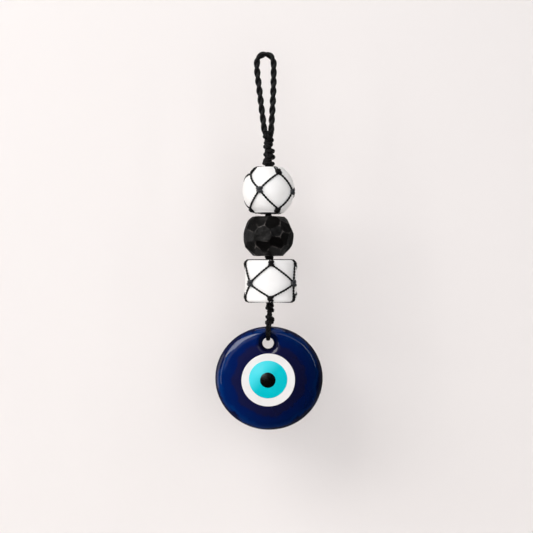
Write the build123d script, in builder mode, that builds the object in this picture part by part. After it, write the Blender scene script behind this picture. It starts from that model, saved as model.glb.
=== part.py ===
from build123d import *

import os
from math import cos, radians, sin, sqrt, tan

# Evil eye ornament: a hanging loop of twisted cord, a chain of knots, a white barrel bead in a cord
# net, a black faceted bead, a white cylinder bead in a second net, a tail knot, and a glass eye tied
# on through its hole.
#
# Frame: millimetres, +Z up, the front faces -Y. The origin is where a hook bears, at the top of the
# inside of the hanging loop. An azimuth is measured round a bead, 0 at the front, positive to +X.

# ---- cord ----
strand = 1.2  # one waxed strand of the nets
rope = 3.2  # the twisted rope of the hanging loop
bundle = 3.6  # all eight strands side by side
strand_gap = 0.05  # left between a strand and what it lies on
pair_gap = 0.04  # left between two strands side by side

# ---- hanging loop ----
crown_radius = 4.0  # the bend round the hook
leg_radius = 120.0  # where the right leg turns in towards the knots
loop_points = (  # x and z of the route, from the left leg's foot, over the hook and down the right leg
    (-0.35, -41.9),
    (-4.55, -1.2),
    (-1.9, rope / 2),
    (1.95, rope / 2),
    (4.65, -1.2),
    (4.55, -20.5),
    (3.25, -41.9),
)
left_foot, right_foot = loop_points[0], loop_points[-1]

# ---- throat and neck knots ----
string_x = 1.8  # the beads hang a little to the right of the hook
throat_top, throat_bottom = -41.2, -48.2
throat_wide, throat_deep, throat_end = 3.6, 1.9, 2.2
neck_knots = ((-49.9, 2.8), (-52.9, 3.1), (-56.0, 3.6), (-58.5, 3.55))  # z, radius of each knot
neck_bottom = -60.3
sway_limit = 15.0  # degrees that the beads swing under the neck knots

# ---- beads ----
upper_x, upper_z = 1.75, -74.35  # centre of the barrel bead
upper_half, upper_radius, upper_flat = 12.65, 14.4, 7.9
upper_rise = upper_half / sqrt(1 - (upper_flat / upper_radius) ** 2)  # half height of its full ellipse
faceted_x, faceted_z = 1.75, -99.95
faceted_half, faceted_radius, faceted_rise = 10.95, 14.35, 14.0
lower_x, lower_z = 3.0, -124.8  # centre of the cylinder bead
lower_half, lower_radius, lower_edge = 11.6, 14.4, 1.8
upper_edge = 1.0
white_bore, faceted_bore = 2.5, 1.95
bore_dish = 0.8  # chamfer at each mouth of a bead's bore

# ---- nets: azimuth of each knot, and its height above the bead's centre ----
upper_net = {
    "top": ((27.5, 9.2), (146.0, 10.2), (192.0, 10.0), (306.5, 9.3)),
    "middle": ((-19.0, -0.4), (63.0, -1.0), (168.0, 0.0), (232.0, 0.3)),
    "bottom": ((29.0, -11.0), (146.0, -10.8), (202.0, -10.8), (293.0, -10.8)),
}
lower_net = {
    "top": ((1.0, 9.6), (66.0, 9.3), (182.0, 9.0), (288.0, 9.3)),
    "middle": ((-48.5, -1.25), (56.5, -1.25), (138.0, -1.0), (225.0, -1.4)),
    "bottom": ((-0.5, -9.6), (60.5, -8.6), (182.0, -9.0), (289.0, -8.8)),
}
knot_wide, knot_tall, knot_thick, knot_round = 3.3, 3.3, 1.7, 0.5
hub_radius = 1.9  # where the eight strands gather at each end of a net

# ---- tail and tie ----
tail_x, tie_x = 2.4, 1.6
tail_knot = (-137.8, -139.8, -142.4, 2.45, 1.3)  # top, middle, bottom, radius, end radius
tie_knot = (-142.8, -146.4, -148.8, 2.5, 1.3)
tie_strand = 1.2
tie_depth = 5.3  # how far the tie stands in front of and behind the eye's middle plane
tie_shoulder = -149.6
nod_limit = 30.0  # degrees that the tail nods under the cylinder bead

# ---- glass eye ----
eye_x, eye_z = 2.1, -179.1
eye_half_width, eye_half_height, eye_thick = 30.0, 28.85, 9.0
eye_front_round, eye_back_round = 5.4, 3.4
hole_z, hole_radius, hole_flare, hole_back_flare = -159.5, 3.2, 2.0, 2.0
iris_x, iris_z = 1.7, -179.75
# Each glass layer: its radius, how deep it sits below the front face, and how proud its edge stands.
white_glass = (14.9, 1.8, 0.12)
turquoise_glass = (10.75, 1.0, 0.34)
pupil_glass = (4.55, 0.4, 0.52)
pupil_proud = 1.15
tie_z = hole_z + 2.1  # where the tie crosses inside the hole

front = -eye_thick / 2
strand_lift = strand / 2 + strand_gap  # from a bead's surface to a strand's centreline
os.makedirs("parts", exist_ok=True)


def write(builder, label):
    """Labels a finished piece and writes it to its own file."""
    builder.part.label = label
    export_step(builder.part, f"parts/{label}.step")


def outward(azimuth):
    """The level direction out of a bead at an azimuth."""
    angle = radians(azimuth)
    return Vector(sin(angle), -cos(angle), 0)


def across(azimuth):
    """The level direction along a bead's surface, towards a larger azimuth."""
    angle = radians(azimuth)
    return Vector(cos(angle), sin(angle), 0)


class Barrel:
    """The side of the barrel bead: half an ellipse turned about the bead's axis."""

    centre = Vector(upper_x, 0, upper_z)

    def reach(self, height):
        return upper_radius * sqrt(1 - (height / upper_rise) ** 2)

    def normal(self, azimuth, height):
        level = outward(azimuth) * self.reach(height) / upper_radius**2
        return (level + Vector(0, 0, height / upper_rise**2)).normalized()

    def point(self, azimuth, height, lift):
        on_side = outward(azimuth) * self.reach(height) + Vector(0, 0, height)
        return self.centre + on_side + self.normal(azimuth, height) * lift


class Drum:
    """The side of the cylinder bead."""

    centre = Vector(lower_x, 0, lower_z)

    def normal(self, azimuth, height):
        return outward(azimuth)

    def point(self, azimuth, height, lift):
        return self.centre + outward(azimuth) * (lower_radius + lift) + Vector(0, 0, height)


def add_tube(route, radius):
    """Sweeps a round section along a route, inside the builder that is open."""
    with BuildSketch(Plane(origin=route.line @ 0, z_dir=route.line % 0)) as section:
        Circle(radius)
    sweep(section.sketch, path=route.line)


def end_strands(side, knots, end_height, corner, corner_arc):
    """Pairs of strands from a ring of knots, over the edge of a bead, to the hub at its end."""
    with BuildPart() as strands:
        for azimuth, height in knots:
            start = side.point(azimuth, height, strand_lift) - side.centre
            for sideways in (-1, 1):
                shift = across(azimuth) * sideways * (strand + pair_gap) / 2
                plane = Plane(side.centre + shift, x_dir=outward(azimuth), z_dir=across(azimuth) * -1)
                with BuildLine(plane) as route:
                    FilletPolyline(
                        (start.dot(outward(azimuth)), start.Z),
                        (corner, end_height),
                        (hub_radius, end_height),
                        radius=corner_arc,
                    )
                add_tube(route, strand / 2)
    return strands


def diagonal_strands(side, knots, middle_knots, upward):
    """The eight strands between the middle ring of knots and the ring above (upward 1) or below (-1)."""
    with BuildPart() as strands:
        for k, (azimuth, height) in enumerate(knots):
            for sideways, (middle_azimuth, middle_height) in (
                (-1, middle_knots[k]),
                (1, middle_knots[(k + 1) % 4]),
            ):
                if sideways == 1 and middle_azimuth < azimuth:
                    middle_azimuth += 360
                beside = 3.2 * sideways  # degrees, so that two strands leave a knot side by side
                start = (azimuth + beside, height - upward * 1.2)
                end = (middle_azimuth - beside, middle_height + upward * 1.2)
                halfway = ((start[0] + end[0]) / 2, (start[1] + end[1]) / 2)
                with BuildLine() as route:
                    ThreePointArc(
                        side.point(*start, strand_lift),
                        side.point(*halfway, strand_lift + 0.06),
                        side.point(*end, strand_lift),
                    )
                add_tube(route, strand / 2)
    return strands


def ring_knots(side, places):
    """One ring of four knots, each lying flat on the bead."""
    lift = knot_thick / 2 + strand_gap
    with BuildPart() as knots:
        for azimuth, height in places:
            place = Plane(
                origin=side.point(azimuth, height, lift),
                x_dir=across(azimuth),
                z_dir=side.normal(azimuth, height),
            )
            with BuildSketch(place):
                RectangleRounded(knot_wide, knot_tall, 2 * knot_round)
            extrude(amount=knot_thick / 2, both=True)
        fillet(knots.edges(), knot_round)
    return knots


def turned(x, profile_points):
    """A solid turned about a vertical axis through x, from (radius, z) points that step down the axis.
    Every second point is the bulge of an arc."""
    with BuildPart() as solid:
        with BuildSketch(Plane.XZ):
            with BuildLine():
                for k in range(0, len(profile_points) - 2, 2):
                    stretch = [(x + radius, z) for radius, z in profile_points[k : k + 3]]
                    ThreePointArc(*stretch)
                first, last = profile_points[0], profile_points[-1]
                Polyline((x + last[0], last[1]), (x, last[1]), (x, first[1]), (x + first[0], first[1]))
            make_face()
        revolve(axis=Axis((x, 0, 0), (0, 0, 1)))
    return solid


# ---- hanging loop ----
loop_radii = [crown_radius] * 4 + [leg_radius]
with BuildPart() as hanging_loop:
    with BuildLine(Plane.XZ) as loop_route:
        FilletPolyline(*loop_points, radius=loop_radii)
    add_tube(loop_route, rope / 2)
write(hanging_loop, "hanging_loop")
print("loop route", round(loop_route.wires()[0].length, 1), "mm, radii", loop_radii)

# ---- throat, where the two legs are seized together ----
with BuildPart() as throat_knot:
    with BuildSketch(Plane.XY.offset(throat_top)):
        with Locations(((left_foot[0] + right_foot[0]) / 2, 0)):
            Ellipse(throat_wide, throat_deep)
    with BuildSketch(Plane.XY.offset(throat_bottom)):
        with Locations((string_x, 0)):
            Circle(throat_end)
    loft()
write(throat_knot, "throat_knot")

# ---- neck: a chain of four square knots, coned underneath so that the beads can swing ----
neck_profile = [(throat_end, throat_bottom)]
for k, (knot_z, knot_radius) in enumerate(neck_knots):
    last_knot = k == len(neck_knots) - 1
    if last_knot:
        waist_z = neck_bottom + knot_radius * tan(radians(sway_limit))
    else:
        waist_z = (knot_z + neck_knots[k + 1][0]) / 2
    neck_profile += [(knot_radius, knot_z), (knot_radius - 0.5, waist_z)]
with BuildPart() as neck_sennit:
    with BuildSketch(Plane.XZ):
        with BuildLine():
            for k in range(0, len(neck_profile) - 2, 2):
                ThreePointArc(*[(string_x + radius, z) for radius, z in neck_profile[k : k + 3]])
            Polyline(
                (string_x + neck_profile[-1][0], neck_profile[-1][1]),
                (string_x, neck_bottom),
                (string_x, throat_bottom),
                (string_x + throat_end, throat_bottom),
            )
        make_face()
    revolve(axis=Axis((string_x, 0, 0), (0, 0, 1)))
write(neck_sennit, "neck_sennit")

# ---- upper bead: a drilled barrel ----
with BuildPart() as upper_bead:
    with BuildSketch(Plane.XZ) as upper_section:
        with BuildLine():
            heights = [upper_half * k / 4 for k in range(-4, 5)]
            side_points = [(upper_x + Barrel().reach(height), upper_z + height) for height in heights]
            Spline(*side_points)
            Polyline(
                side_points[-1],
                (upper_x + white_bore, upper_z + upper_half),
                (upper_x + white_bore, upper_z - upper_half),
                side_points[0],
            )
        make_face()
        corners = upper_section.vertices().filter_by(lambda corner: corner.X > upper_x + upper_flat - 0.1)
        fillet(corners, upper_edge)
        mouths = upper_section.vertices().filter_by(lambda corner: corner.X < upper_x + white_bore + 0.1)
        chamfer(mouths, bore_dish)
    revolve(axis=Axis((upper_x, 0, 0), (0, 0, 1)))
write(upper_bead, "upper_bead")

# ---- lower bead: a drilled cylinder with rounded edges ----
with BuildPart() as lower_bead:
    with BuildSketch(Plane.XY.offset(lower_z - lower_half)):
        with Locations((lower_x, 0)):
            Circle(lower_radius)
            Circle(white_bore, mode=Mode.SUBTRACT)
    extrude(amount=2 * lower_half)
    circles = lower_bead.faces().filter_by(GeomType.PLANE).edges()
    fillet(circles.filter_by(lambda edge: edge.radius > lower_radius - 0.1), lower_edge)
    mouths = lower_bead.faces().filter_by(GeomType.PLANE).edges()
    chamfer(mouths.filter_by(lambda edge: abs(edge.radius - white_bore) < 0.1), bore_dish)
write(lower_bead, "lower_bead")

# ---- the two nets ----
nets = (
    # name, bead's side, knots, bead's half height, strands' corner: its radius and its arc
    ("upper", Barrel(), upper_net, upper_half, upper_flat + 0.75, 1.5),
    ("lower", Drum(), lower_net, lower_half, lower_radius + strand_lift, 2.4),
)
for name, side, net, half, corner, corner_arc in nets:
    for ring, upward, label in (("top", 1, "crown"), ("bottom", -1, "base")):
        end_height = upward * (half + strand_lift)
        end_pairs = end_strands(side, net[ring], end_height, corner, corner_arc)
        write(end_pairs, f"{name}_net_{label}_strands")
        write(diagonal_strands(side, net[ring], net["middle"], upward), f"{name}_net_{ring}_diagonals")
        write(ring_knots(side, net[ring]), f"{name}_net_{ring}_knots")
    write(ring_knots(side, net["middle"]), f"{name}_net_middle_knots")

# ---- bundle of strands through the faceted bead, with the stopper knot that carries that bead ----
bundle_top = upper_z - upper_half - strand - strand_gap - 0.2
stopper_top = faceted_z - faceted_half - 0.02
stopper_bottom = lower_z + lower_half + strand + strand_gap + 0.3
with BuildPart() as cord_bundle:
    with BuildSketch(Plane.XY.offset(stopper_top)):
        with Locations((faceted_x, 0)):
            Circle(bundle / 2)
    extrude(amount=bundle_top - stopper_top)
write(cord_bundle, "cord_bundle")
write(
    turned(
        faceted_x + 0.4,
        [(2.2, stopper_top), (2.5, (stopper_top + stopper_bottom) / 2), (2.2, stopper_bottom)],
    ),
    "stopper_knot",
)

# ---- faceted bead: a flattened ball, cut flat by hand in three uneven rows ----
# Each facet is an azimuth and a latitude in degrees; the first five or six of a row face the front.
facets = (
    # upper row
    (-46, 25), (-28, 40), (13, 31), (47, 20), (62, 48), (90, 22), (126, 38), (163, 27), (202, 40), (241, 30),
    (279, 20),
    # middle row
    (-54, 1), (-11, 3), (21, 11), (42, -2), (63, -8), (98, -4), (134, -3), (171, 5), (208, -4), (246, 3),
    (280, -5),
    # lower row
    (-52, -27), (-34, -42), (-12, -28), (12, -40), (22, -15), (58, -36), (94, -43), (137, -40), (175, -29),
    (212, -42), (249, -32), (283, -47),
)  # fmt: skip
facet_depth = 0.937  # a facet's distance from the centre, as a share of the ball's
with BuildPart() as faceted_bead:
    with BuildSketch(Plane.XZ):
        with Locations((faceted_x, faceted_z)):
            Ellipse(faceted_radius, faceted_rise)
        with Locations((faceted_x - faceted_radius, faceted_z)):
            Rectangle(2 * faceted_radius, 4 * faceted_radius, mode=Mode.SUBTRACT)
    revolve(axis=Axis((faceted_x, 0, 0), (0, 0, 1)))
    middle = Vector(faceted_x, 0, faceted_z)
    for azimuth, latitude in facets:
        tilt = radians(latitude)
        on_ball = outward(azimuth) * faceted_radius * cos(tilt) + Vector(0, 0, faceted_rise * sin(tilt))
        square = outward(azimuth) * cos(tilt) / faceted_radius + Vector(0, 0, sin(tilt) / faceted_rise)
        split(bisect_by=Plane(middle + on_ball * facet_depth, z_dir=square), keep=Keep.BOTTOM)
    split(bisect_by=Plane.XY.offset(faceted_z + faceted_half), keep=Keep.BOTTOM)
    split(bisect_by=Plane.XY.offset(faceted_z - faceted_half), keep=Keep.TOP)
    with Locations(middle):
        Hole(faceted_bore, depth=faceted_half + 1)
write(faceted_bead, "faceted_bead")

# ---- tail: one knot under the cylinder bead, and one where the tie is made ----
top, middle_z, bottom, widest, end = tail_knot
cone = (widest - 0.55) * tan(radians(nod_limit)) + 0.25
write(
    turned(tail_x, [(0.3, top), (1.15, top - cone * 0.62), (widest - 0.55, top - cone - 0.25),
                    (widest, middle_z - 0.3), (end, bottom)]),
    "tail_knot",
)  # fmt: skip
top, middle_z, bottom, widest, end = tie_knot
write(turned(tail_x, [(end, top), (widest, middle_z), (end + 0.4, bottom)]), "tie_knot")

# ---- tie: two strands side by side, down the front, through the hole and up the back ----
with BuildPart() as eye_tie:
    for sideways in (-1, 1):
        plane = Plane(
            origin=(tie_x + sideways * (tie_strand + pair_gap) / 2, 0, 0), x_dir=(0, 1, 0), z_dir=(1, 0, 0)
        )
        with BuildLine(plane) as tie_route:
            FilletPolyline(
                (-0.9, tie_knot[1] - 0.7),
                (-tie_depth, tie_shoulder),
                (-tie_depth, tie_z),
                (tie_depth, tie_z),
                (tie_depth, tie_shoulder),
                (0.9, tie_knot[1] - 0.7),
                radius=[2.6, 3.2, 3.2, 2.6],
            )
        add_tube(tie_route, tie_strand / 2)
write(eye_tie, "eye_tie")

# ---- glass eye: the cobalt body, pierced for the tie, with a seat for the white layer ----
back_plane = Plane(origin=(eye_x, -front, eye_z), x_dir=(1, 0, 0), z_dir=(0, -1, 0))
hole_axis = Axis((tie_x, 0, hole_z), (0, 1, 0))
iris_axis = Axis((iris_x, 0, iris_z), (0, 1, 0))
hole_plane = Plane(origin=(tie_x, 0, hole_z), x_dir=(1, 0, 0), z_dir=(0, 0, 1))
iris_plane = Plane(origin=(iris_x, 0, iris_z), x_dir=(1, 0, 0), z_dir=(0, 0, 1))
with BuildPart() as eye_body:
    with BuildSketch(back_plane):
        Ellipse(eye_half_width, eye_half_height)
    extrude(amount=eye_thick)
    rims = eye_body.edges().filter_by(lambda edge: not edge.geom_type == GeomType.LINE).sort_by(Axis.Y)
    fillet(rims[0], eye_front_round)
    rims = eye_body.faces().sort_by(Axis.Y)[-1].edges()
    fillet(rims, eye_back_round)
    with BuildSketch(hole_plane):
        with BuildLine():
            mouth = hole_radius + hole_flare
            back_mouth = hole_radius + hole_back_flare
            slant = 1 - sqrt(0.5)
            Polyline((hole_radius, -front - hole_back_flare), (hole_radius, front + hole_flare))
            ThreePointArc(
                (hole_radius, front + hole_flare),
                (hole_radius + hole_flare * slant, front + hole_flare * slant),
                (mouth, front),
            )
            Polyline(
                (mouth, front),
                (mouth, front - 1),
                (0, front - 1),
                (0, 1 - front),
                (back_mouth, 1 - front),
                (back_mouth, -front),
            )
            ThreePointArc(
                (back_mouth, -front),
                (hole_radius + hole_back_flare * slant, -front - hole_back_flare * slant),
                (hole_radius, -front - hole_back_flare),
            )
        make_face()
    revolve(axis=hole_axis, mode=Mode.SUBTRACT)
    with BuildSketch(iris_plane.rotated((90, 0, 0)).offset(-front - white_glass[1])):
        Circle(white_glass[0])
    extrude(amount=white_glass[1] + 1, mode=Mode.SUBTRACT)
write(eye_body, "eye_body")


def glass_layer(radius, depth, proud, inner_radius, inner_depth, inner_proud, label):
    """A round layer of glass, slightly domed, with a seat in it for the next layer."""
    with BuildPart() as layer:
        with BuildSketch(iris_plane):
            with BuildLine():
                edge, inner = (radius, front - proud), (inner_radius, front - inner_proud)
                bulge = ((radius + inner_radius) / 2, front - (proud + inner_proud) / 2 - 0.03)
                Polyline((0, front + inner_depth), (0, front + depth), (radius, front + depth), edge)
                ThreePointArc(edge, bulge, inner)
                Polyline(inner, (inner_radius, front + inner_depth), (0, front + inner_depth))
            make_face()
        revolve(axis=iris_axis)
    write(layer, label)


glass_layer(*white_glass, *turquoise_glass, "eye_white")
glass_layer(*turquoise_glass, *pupil_glass, "eye_turquoise")
dome = pupil_proud - pupil_glass[2]  # height of the dome above its rim
dome_ball = (pupil_glass[0] ** 2 + dome**2) / (2 * dome)  # radius of the dome's ball
with BuildPart() as eye_pupil:
    with BuildSketch(iris_plane):
        with BuildLine():
            radius, depth, proud = pupil_glass
            rim, apex = (radius, front - proud), (0, front - pupil_proud)
            shoulder = (radius / 2, front - pupil_proud + dome_ball - sqrt(dome_ball**2 - radius**2 / 4))
            Polyline(apex, (0, front + depth), (radius, front + depth), rim)
            ThreePointArc(rim, shoulder, apex)
        make_face()
    revolve(axis=iris_axis)
write(eye_pupil, "eye_pupil")
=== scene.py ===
import math
import random

import bmesh
import bpy
import numpy as np
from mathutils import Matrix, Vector, noise


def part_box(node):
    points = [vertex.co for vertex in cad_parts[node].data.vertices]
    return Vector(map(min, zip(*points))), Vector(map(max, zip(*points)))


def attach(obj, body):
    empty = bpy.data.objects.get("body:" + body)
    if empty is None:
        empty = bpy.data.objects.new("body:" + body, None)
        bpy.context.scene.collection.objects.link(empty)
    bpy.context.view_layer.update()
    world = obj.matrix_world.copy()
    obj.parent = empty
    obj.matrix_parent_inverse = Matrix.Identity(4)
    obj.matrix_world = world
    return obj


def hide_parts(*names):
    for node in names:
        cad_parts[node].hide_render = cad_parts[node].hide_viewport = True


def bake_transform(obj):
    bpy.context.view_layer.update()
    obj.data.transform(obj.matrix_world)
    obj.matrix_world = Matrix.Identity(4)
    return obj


# Evil eye ornament: the looks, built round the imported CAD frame.
#
# Lengths here are in millimetres and are turned into metres where a mesh is made. The frame is the
# CAD's: +Z up, the front faces -Y, and the origin is where a hook bears inside the hanging loop.
# An azimuth is measured round a bead, 0 at the front and positive to +X.

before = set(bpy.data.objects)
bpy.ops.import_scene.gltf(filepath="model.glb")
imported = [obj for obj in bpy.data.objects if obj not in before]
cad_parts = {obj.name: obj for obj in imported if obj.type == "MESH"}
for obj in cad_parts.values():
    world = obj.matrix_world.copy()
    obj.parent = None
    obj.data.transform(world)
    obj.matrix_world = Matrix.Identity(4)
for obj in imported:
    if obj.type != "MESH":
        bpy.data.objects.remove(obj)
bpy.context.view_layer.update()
MM = 0.001


# ---------------------------------------------------------------- sizes
strand = 1.2  # a net's waxed cord
rope = 3.5  # the hanging loop's twisted rope, over its bulges
pair_gap = 0.1  # between two strands that run side by side
tie_half = 0.6  # half of the CAD's tie strand
tie_rise = 2.1  # from the hole's centre up to where the tie crosses in it
hole_radius = 3.2
tie_shoulder = -149.6  # where the tie's two sides reach their full spread
wall_y, floor_z = 0.058, -0.62  # metres; the wall stands out of the eye's reach at every pose

# Azimuth of each knot and height above the bead's centre, as in part.py.
upper_net = {
    "top": ((27.5, 9.2), (146.0, 10.2), (192.0, 10.0), (306.5, 9.3)),
    "middle": ((-19.0, -0.4), (63.0, -1.0), (168.0, 0.0), (232.0, 0.3)),
    "bottom": ((29.0, -11.0), (146.0, -10.8), (202.0, -10.8), (293.0, -10.8)),
}
lower_net = {
    "top": ((1.0, 9.6), (66.0, 9.3), (182.0, 9.0), (288.0, 9.3)),
    "middle": ((-48.5, -1.25), (56.5, -1.25), (138.0, -1.0), (225.0, -1.4)),
    "bottom": ((-0.5, -9.6), (60.5, -8.6), (182.0, -9.0), (289.0, -8.8)),
}
# Knots smaller than the rest, some hardly more than a turn of the cord: net, ring, place, and the size.
small_knots = {
    ("upper", "top", 3): 0.42, ("upper", "bottom", 3): 0.7, ("upper", "middle", 1): 0.85,
    ("lower", "top", 1): 0.55, ("lower", "top", 3): 0.5,
    ("lower", "bottom", 1): 0.55, ("lower", "bottom", 3): 0.5,
}  # fmt: skip
# One strand of the upper net hangs slack to its left, by this many degrees: net, ring, knot, side.
slack = {("upper", "top", 3, 1): -4.5}
# Strands that pass a bead's side climb or fall late along their way, or early where the number is negative.
climb = {
    ("upper", "top", 1, -1): -2.2, ("upper", "bottom", 1, -1): -2.2, ("lower", "top", 1, 1): 2.2,
    ("lower", "top", 3, -1): 2.2, ("lower", "bottom", 1, 1): 2.2, ("lower", "bottom", 3, -1): 2.2,
}  # fmt: skip

# The hanging loop's route, as in part.py: x and z of its points, from the left leg's foot, over the
# hook and down the right leg. The points along the left leg bow it a little, as tension leaves it.
loop_route = (
    (-0.35, -41.9), (-1.85, -30.0), (-3.4, -17.0), (-4.6, -8.0), (-4.75, -1.2), (-1.95, 1.6), (2.0, 1.6),
    (4.75, -1.2), (4.75, -8.0), (4.55, -21.0), (3.25, -41.9),
)  # fmt: skip

# The black bead's facets: azimuth and latitude of each, in degrees.
facets = (
    (-46, 25), (-28, 40), (13, 31), (47, 20), (62, 48), (90, 22), (126, 38), (163, 27), (202, 40), (241, 30),
    (279, 20),
    (-54, 1), (-11, 3), (21, 11), (42, -2), (63, -8), (98, -4), (134, -3), (171, 5), (208, -4), (246, 3),
    (280, -5),
    (-52, -27), (-34, -42), (-12, -28), (12, -40), (22, -15), (58, -36), (94, -43), (137, -40), (175, -29),
    (212, -42), (249, -32), (283, -47),
)  # fmt: skip


def centre_and_half(node):
    """A CAD node's middle and half its size, in millimetres."""
    low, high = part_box(node)
    low, high = np.array(low) / MM, np.array(high) / MM
    return (low + high) / 2, (high - low) / 2


upper_centre, upper_half = centre_and_half("upper_bead")
lower_centre, lower_half = centre_and_half("lower_bead")
faceted_centre, faceted_half = centre_and_half("faceted_bead")
eye_centre, eye_half = centre_and_half("eye_body")
iris_centre = centre_and_half("eye_white")[0]
tie_low, tie_high = (np.array(corner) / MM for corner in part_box("eye_tie"))
tie_centre_x = (tie_low[0] + tie_high[0]) / 2
tie_z = tie_low[2] + tie_half
hole_z = tie_z - tie_rise
neck_low, neck_high = (np.array(corner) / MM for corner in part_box("neck_sennit"))
tail_low, tail_high = (np.array(corner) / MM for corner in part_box("tail_knot"))
stopper_low, stopper_high = (np.array(corner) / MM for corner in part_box("stopper_knot"))


# ---------------------------------------------------------------- camera, stage and light
def make_camera():
    data = bpy.data.cameras.new("camera")
    data.lens, data.sensor_width = 85.0, 36.0
    camera = bpy.data.objects.new("camera", data)
    camera.location = Vector((0.7, -702.0, -116.8)) * MM
    camera.rotation_euler = (math.radians(90), 0, 0)
    bpy.context.scene.collection.objects.link(camera)
    bpy.context.scene.camera = camera


def area_light(name, place, aim, size, power, colour, mirrored=True):
    """A soft box. One that is not mirrored lights matt surfaces only and leaves no highlight."""
    data = bpy.data.lights.new(name, "AREA")
    data.shape, data.size, data.size_y = "RECTANGLE", size[0], size[1]
    data.energy, data.color = power, colour
    light = bpy.data.objects.new(name, data)
    light.location = place
    light.rotation_euler = (Vector(aim) - Vector(place)).to_track_quat("-Z", "Y").to_euler()
    light.visible_glossy = mirrored
    bpy.context.scene.collection.objects.link(light)


def plane(name, corners, material):
    """A flat piece of the stage, in metres."""
    mesh = bpy.data.meshes.new(name)
    mesh.from_pydata(corners, [], [(0, 1, 2, 3)])
    mesh.materials.append(material)
    obj = bpy.data.objects.new(name, mesh)
    bpy.context.scene.collection.objects.link(obj)
    return obj


# ---------------------------------------------------------------- material nodes
class Nodes:
    """Short ways to add and wire shader nodes."""

    def __init__(self, name):
        self.material = bpy.data.materials.new(name)
        self.material.use_nodes = True
        self.tree = self.material.node_tree
        self.shader = self.tree.nodes["Principled BSDF"]

    def add(self, kind, **settings):
        node = self.tree.nodes.new(kind)
        for key, value in settings.items():
            if key in node.inputs:
                node.inputs[key].default_value = value
            else:
                setattr(node, key, value)
        return node

    def link(self, start, end):
        self.tree.links.new(start, end)

    def set(self, **values):
        for key, value in values.items():
            self.shader.inputs[key.replace("_", " ")].default_value = value

    def object_coordinates(self):
        return self.add("ShaderNodeTexCoord").outputs["Object"]

    def noise(self, vector, scale, detail=4.0, roughness=0.5):
        node = self.add("ShaderNodeTexNoise", Scale=scale, Detail=detail, Roughness=roughness)
        if vector is not None:
            self.link(vector, node.inputs["Vector"])
        return node.outputs["Fac"]

    def ramp(self, value, stops):
        node = self.add("ShaderNodeValToRGB")
        elements = node.color_ramp.elements
        while len(elements) < len(stops):
            elements.new(0.5)
        for element, (place, colour) in zip(elements, stops):
            element.position = place
            element.color = (*colour, 1.0)
        self.link(value, node.inputs["Fac"])
        return node.outputs["Color"]

    def maths(self, operation, a, b=0.0):
        node = self.add("ShaderNodeMath", operation=operation)
        for socket, value in zip(node.inputs, (a, b)):
            if isinstance(value, (int, float)):
                socket.default_value = value
            else:
                self.link(value, socket)
        return node.outputs["Value"]

    def span(self, value, start, end, low, high, smooth=False):
        """Maps a value from the range start to end onto low to high."""
        node = self.add("ShaderNodeMapRange", interpolation_type="SMOOTHSTEP" if smooth else "LINEAR")
        for key, number in (("From Min", start), ("From Max", end), ("To Min", low), ("To Max", high)):
            node.inputs[key].default_value = number
        self.link(value, node.inputs["Value"])
        return node.outputs["Result"]

    def stretch(self, value, low, high):
        return self.span(value, 0.0, 1.0, low, high)

    def distance(self, a, b):
        """The length of the vector (a, b)."""
        squares = self.maths("ADD", self.maths("MULTIPLY", a, a), self.maths("MULTIPLY", b, b))
        return self.maths("SQRT", squares)

    def tint(self, share, colour, other):
        """A colour that turns into another, plain one by a share."""
        node = self.add("ShaderNodeMix", data_type="RGBA")
        self.link(share, node.inputs["Factor"])
        self.link(colour, node.inputs["A"])
        node.inputs["B"].default_value = (*other, 1.0)
        return node.outputs["Result"]

    def scaled(self, vector, scale):
        node = self.add("ShaderNodeMapping")
        node.inputs["Scale"].default_value = scale
        self.link(vector, node.inputs["Vector"])
        return node.outputs["Vector"]

    def bump(self, height, strength, distance, below=None):
        node = self.add("ShaderNodeBump", Strength=strength, Distance=distance)
        self.link(height, node.inputs["Height"])
        if below is not None:
            self.link(below, node.inputs["Normal"])
        return node.outputs["Normal"]


def cord_material(name, shine, roughness, dark, pale):
    """Black waxed cord: twisted fibres along each ply, a little dust and a soft sheen."""
    m = Nodes(name)
    m.set(Sheen_Weight=0.02, Sheen_Roughness=0.4, Specular_IOR_Level=shine)
    m.shader.inputs["Sheen Tint"].default_value = (0.75, 0.62, 0.6, 1.0)
    uv = m.add("ShaderNodeUVMap", uv_map="fibre").outputs["UV"]
    fibres = m.noise(m.scaled(uv, (1.2, 14.0, 1.0)), 3.0, 3.0, 0.6)
    dust = m.noise(m.object_coordinates(), 900.0, 3.0)
    m.link(m.ramp(fibres, ((0.3, dark), (0.85, pale))), m.shader.inputs["Base Color"])
    m.link(m.stretch(dust, roughness, roughness + 0.18), m.shader.inputs["Roughness"])
    m.link(m.bump(fibres, 0.6, 0.0003), m.shader.inputs["Normal"])
    return m.material


def white_wood_material():
    """Matt white paint brushed over turned wood."""
    m = Nodes("white_wood")
    m.set(Specular_IOR_Level=0.3)
    place = m.object_coordinates()
    strokes = m.noise(m.scaled(place, (1.0, 1.0, 0.22)), 1100.0, 5.0, 0.6)
    patches = m.noise(place, 160.0, 4.0, 0.55)
    specks = m.noise(place, 2600.0, 2.0)
    paints = ((0.3, (0.9, 0.885, 0.87)), (0.6, (0.93, 0.92, 0.91)), (0.8, (0.95, 0.945, 0.94)))
    colour = m.ramp(patches, paints)
    m.link(colour, m.shader.inputs["Base Color"])
    m.link(m.stretch(strokes, 0.45, 0.7), m.shader.inputs["Roughness"])
    rough = m.bump(specks, 0.12, 0.0002)
    m.link(m.bump(strokes, 0.25, 0.0003, rough), m.shader.inputs["Normal"])
    return m.material


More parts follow.
